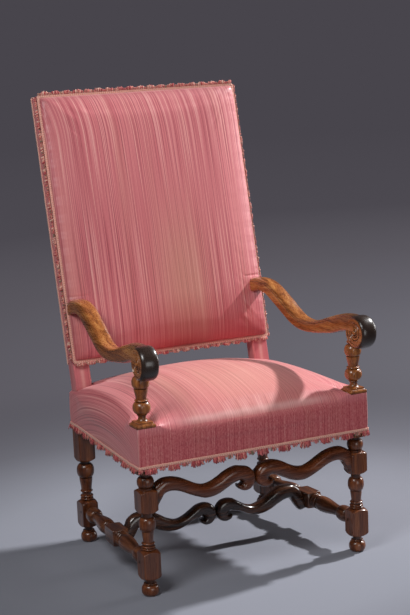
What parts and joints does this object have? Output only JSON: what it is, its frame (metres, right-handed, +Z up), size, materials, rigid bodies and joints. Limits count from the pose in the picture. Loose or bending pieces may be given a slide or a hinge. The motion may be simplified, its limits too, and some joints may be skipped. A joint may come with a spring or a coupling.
{
  "type": "fauteuil",
  "caption": "Upholstered open armchair with a high raked back, scrolled arms, turned legs and wavy scrolled stretchers, in striped silk with a tufted fringe.",
  "frame": {"origin": "on the floor, under the middle of the whole chair's width and depth", "axes": "+X to the right seen from in front of the chair, the front faces -Y, +Z up"},
  "size_m": [0.6466, 0.7302, 1.195],
  "materials": {
    "walnut": "dark walnut, waxed, half gloss",
    "arm_walnut": "walnut worn lighter, waxed, half gloss",
    "beech": "plain sawn, unfinished",
    "peg_wood": "dark, cut flush, half gloss",
    "silk": "fine striped silk, satin sheen",
    "braid": "woven braid with cut tufts, soft",
    "jute": "coarse woven strap, matt",
    "hessian": "coarse open cloth, matt",
    "horsehair": "packed curled hair, matt"
  },
  "bodies": {
    "root": {"arm_left": "arm_walnut", "arm_right": "arm_walnut", "back_cover": "silk", "back_fringe": "braid", "back_hessian": "hessian", "back_rail_bottom": "beech", "back_rail_top": "beech", "back_rear_braid": "braid", "back_rear_cover": "silk", "back_strap_across_1": "jute", "back_strap_across_2": "jute", "back_strap_across_3": "jute", "back_strap_across_4": "jute", "back_strap_up_1": "jute", "back_strap_up_2": "jute", "back_stuffing": "horsehair", "cross_stretcher": "walnut", "cross_stretcher_peg_left": "peg_wood", "cross_stretcher_peg_right": "peg_wood", "front_post_left": "walnut", "front_post_right": "walnut", "front_stretcher": "walnut", "front_stretcher_peg_left": "peg_wood", "front_stretcher_peg_right": "peg_wood", "rear_post_left": "walnut", "rear_post_right": "walnut", "seat_cover": "silk", "seat_fringe": "braid", "seat_hessian": "hessian", "seat_rail_front": "beech", "seat_rail_left": "beech", "seat_rail_peg_front_left": "peg_wood", "seat_rail_peg_front_right": "peg_wood", "seat_rail_peg_rear_left": "peg_wood", "seat_rail_peg_rear_right": "peg_wood", "seat_rail_peg_side_front_left": "peg_wood", "seat_rail_peg_side_front_right": "peg_wood", "seat_rail_peg_side_rear_left": "peg_wood", "seat_rail_peg_side_rear_right": "peg_wood", "seat_rail_rear": "beech", "seat_rail_right": "beech", "seat_strap_across_1": "jute", "seat_strap_across_2": "jute", "seat_strap_across_3": "jute", "seat_strap_along_1": "jute", "seat_strap_along_2": "jute", "seat_strap_along_3": "jute", "seat_strap_along_4": "jute", "seat_stuffing": "horsehair", "side_stretcher_left": "walnut", "side_stretcher_peg_front_left": "peg_wood", "side_stretcher_peg_front_right": "peg_wood", "side_stretcher_peg_rear_left": "peg_wood", "side_stretcher_peg_rear_right": "peg_wood", "side_stretcher_right": "walnut", "stile_sleeve_left": "silk", "stile_sleeve_right": "silk"}
  },
  "joints": []
}
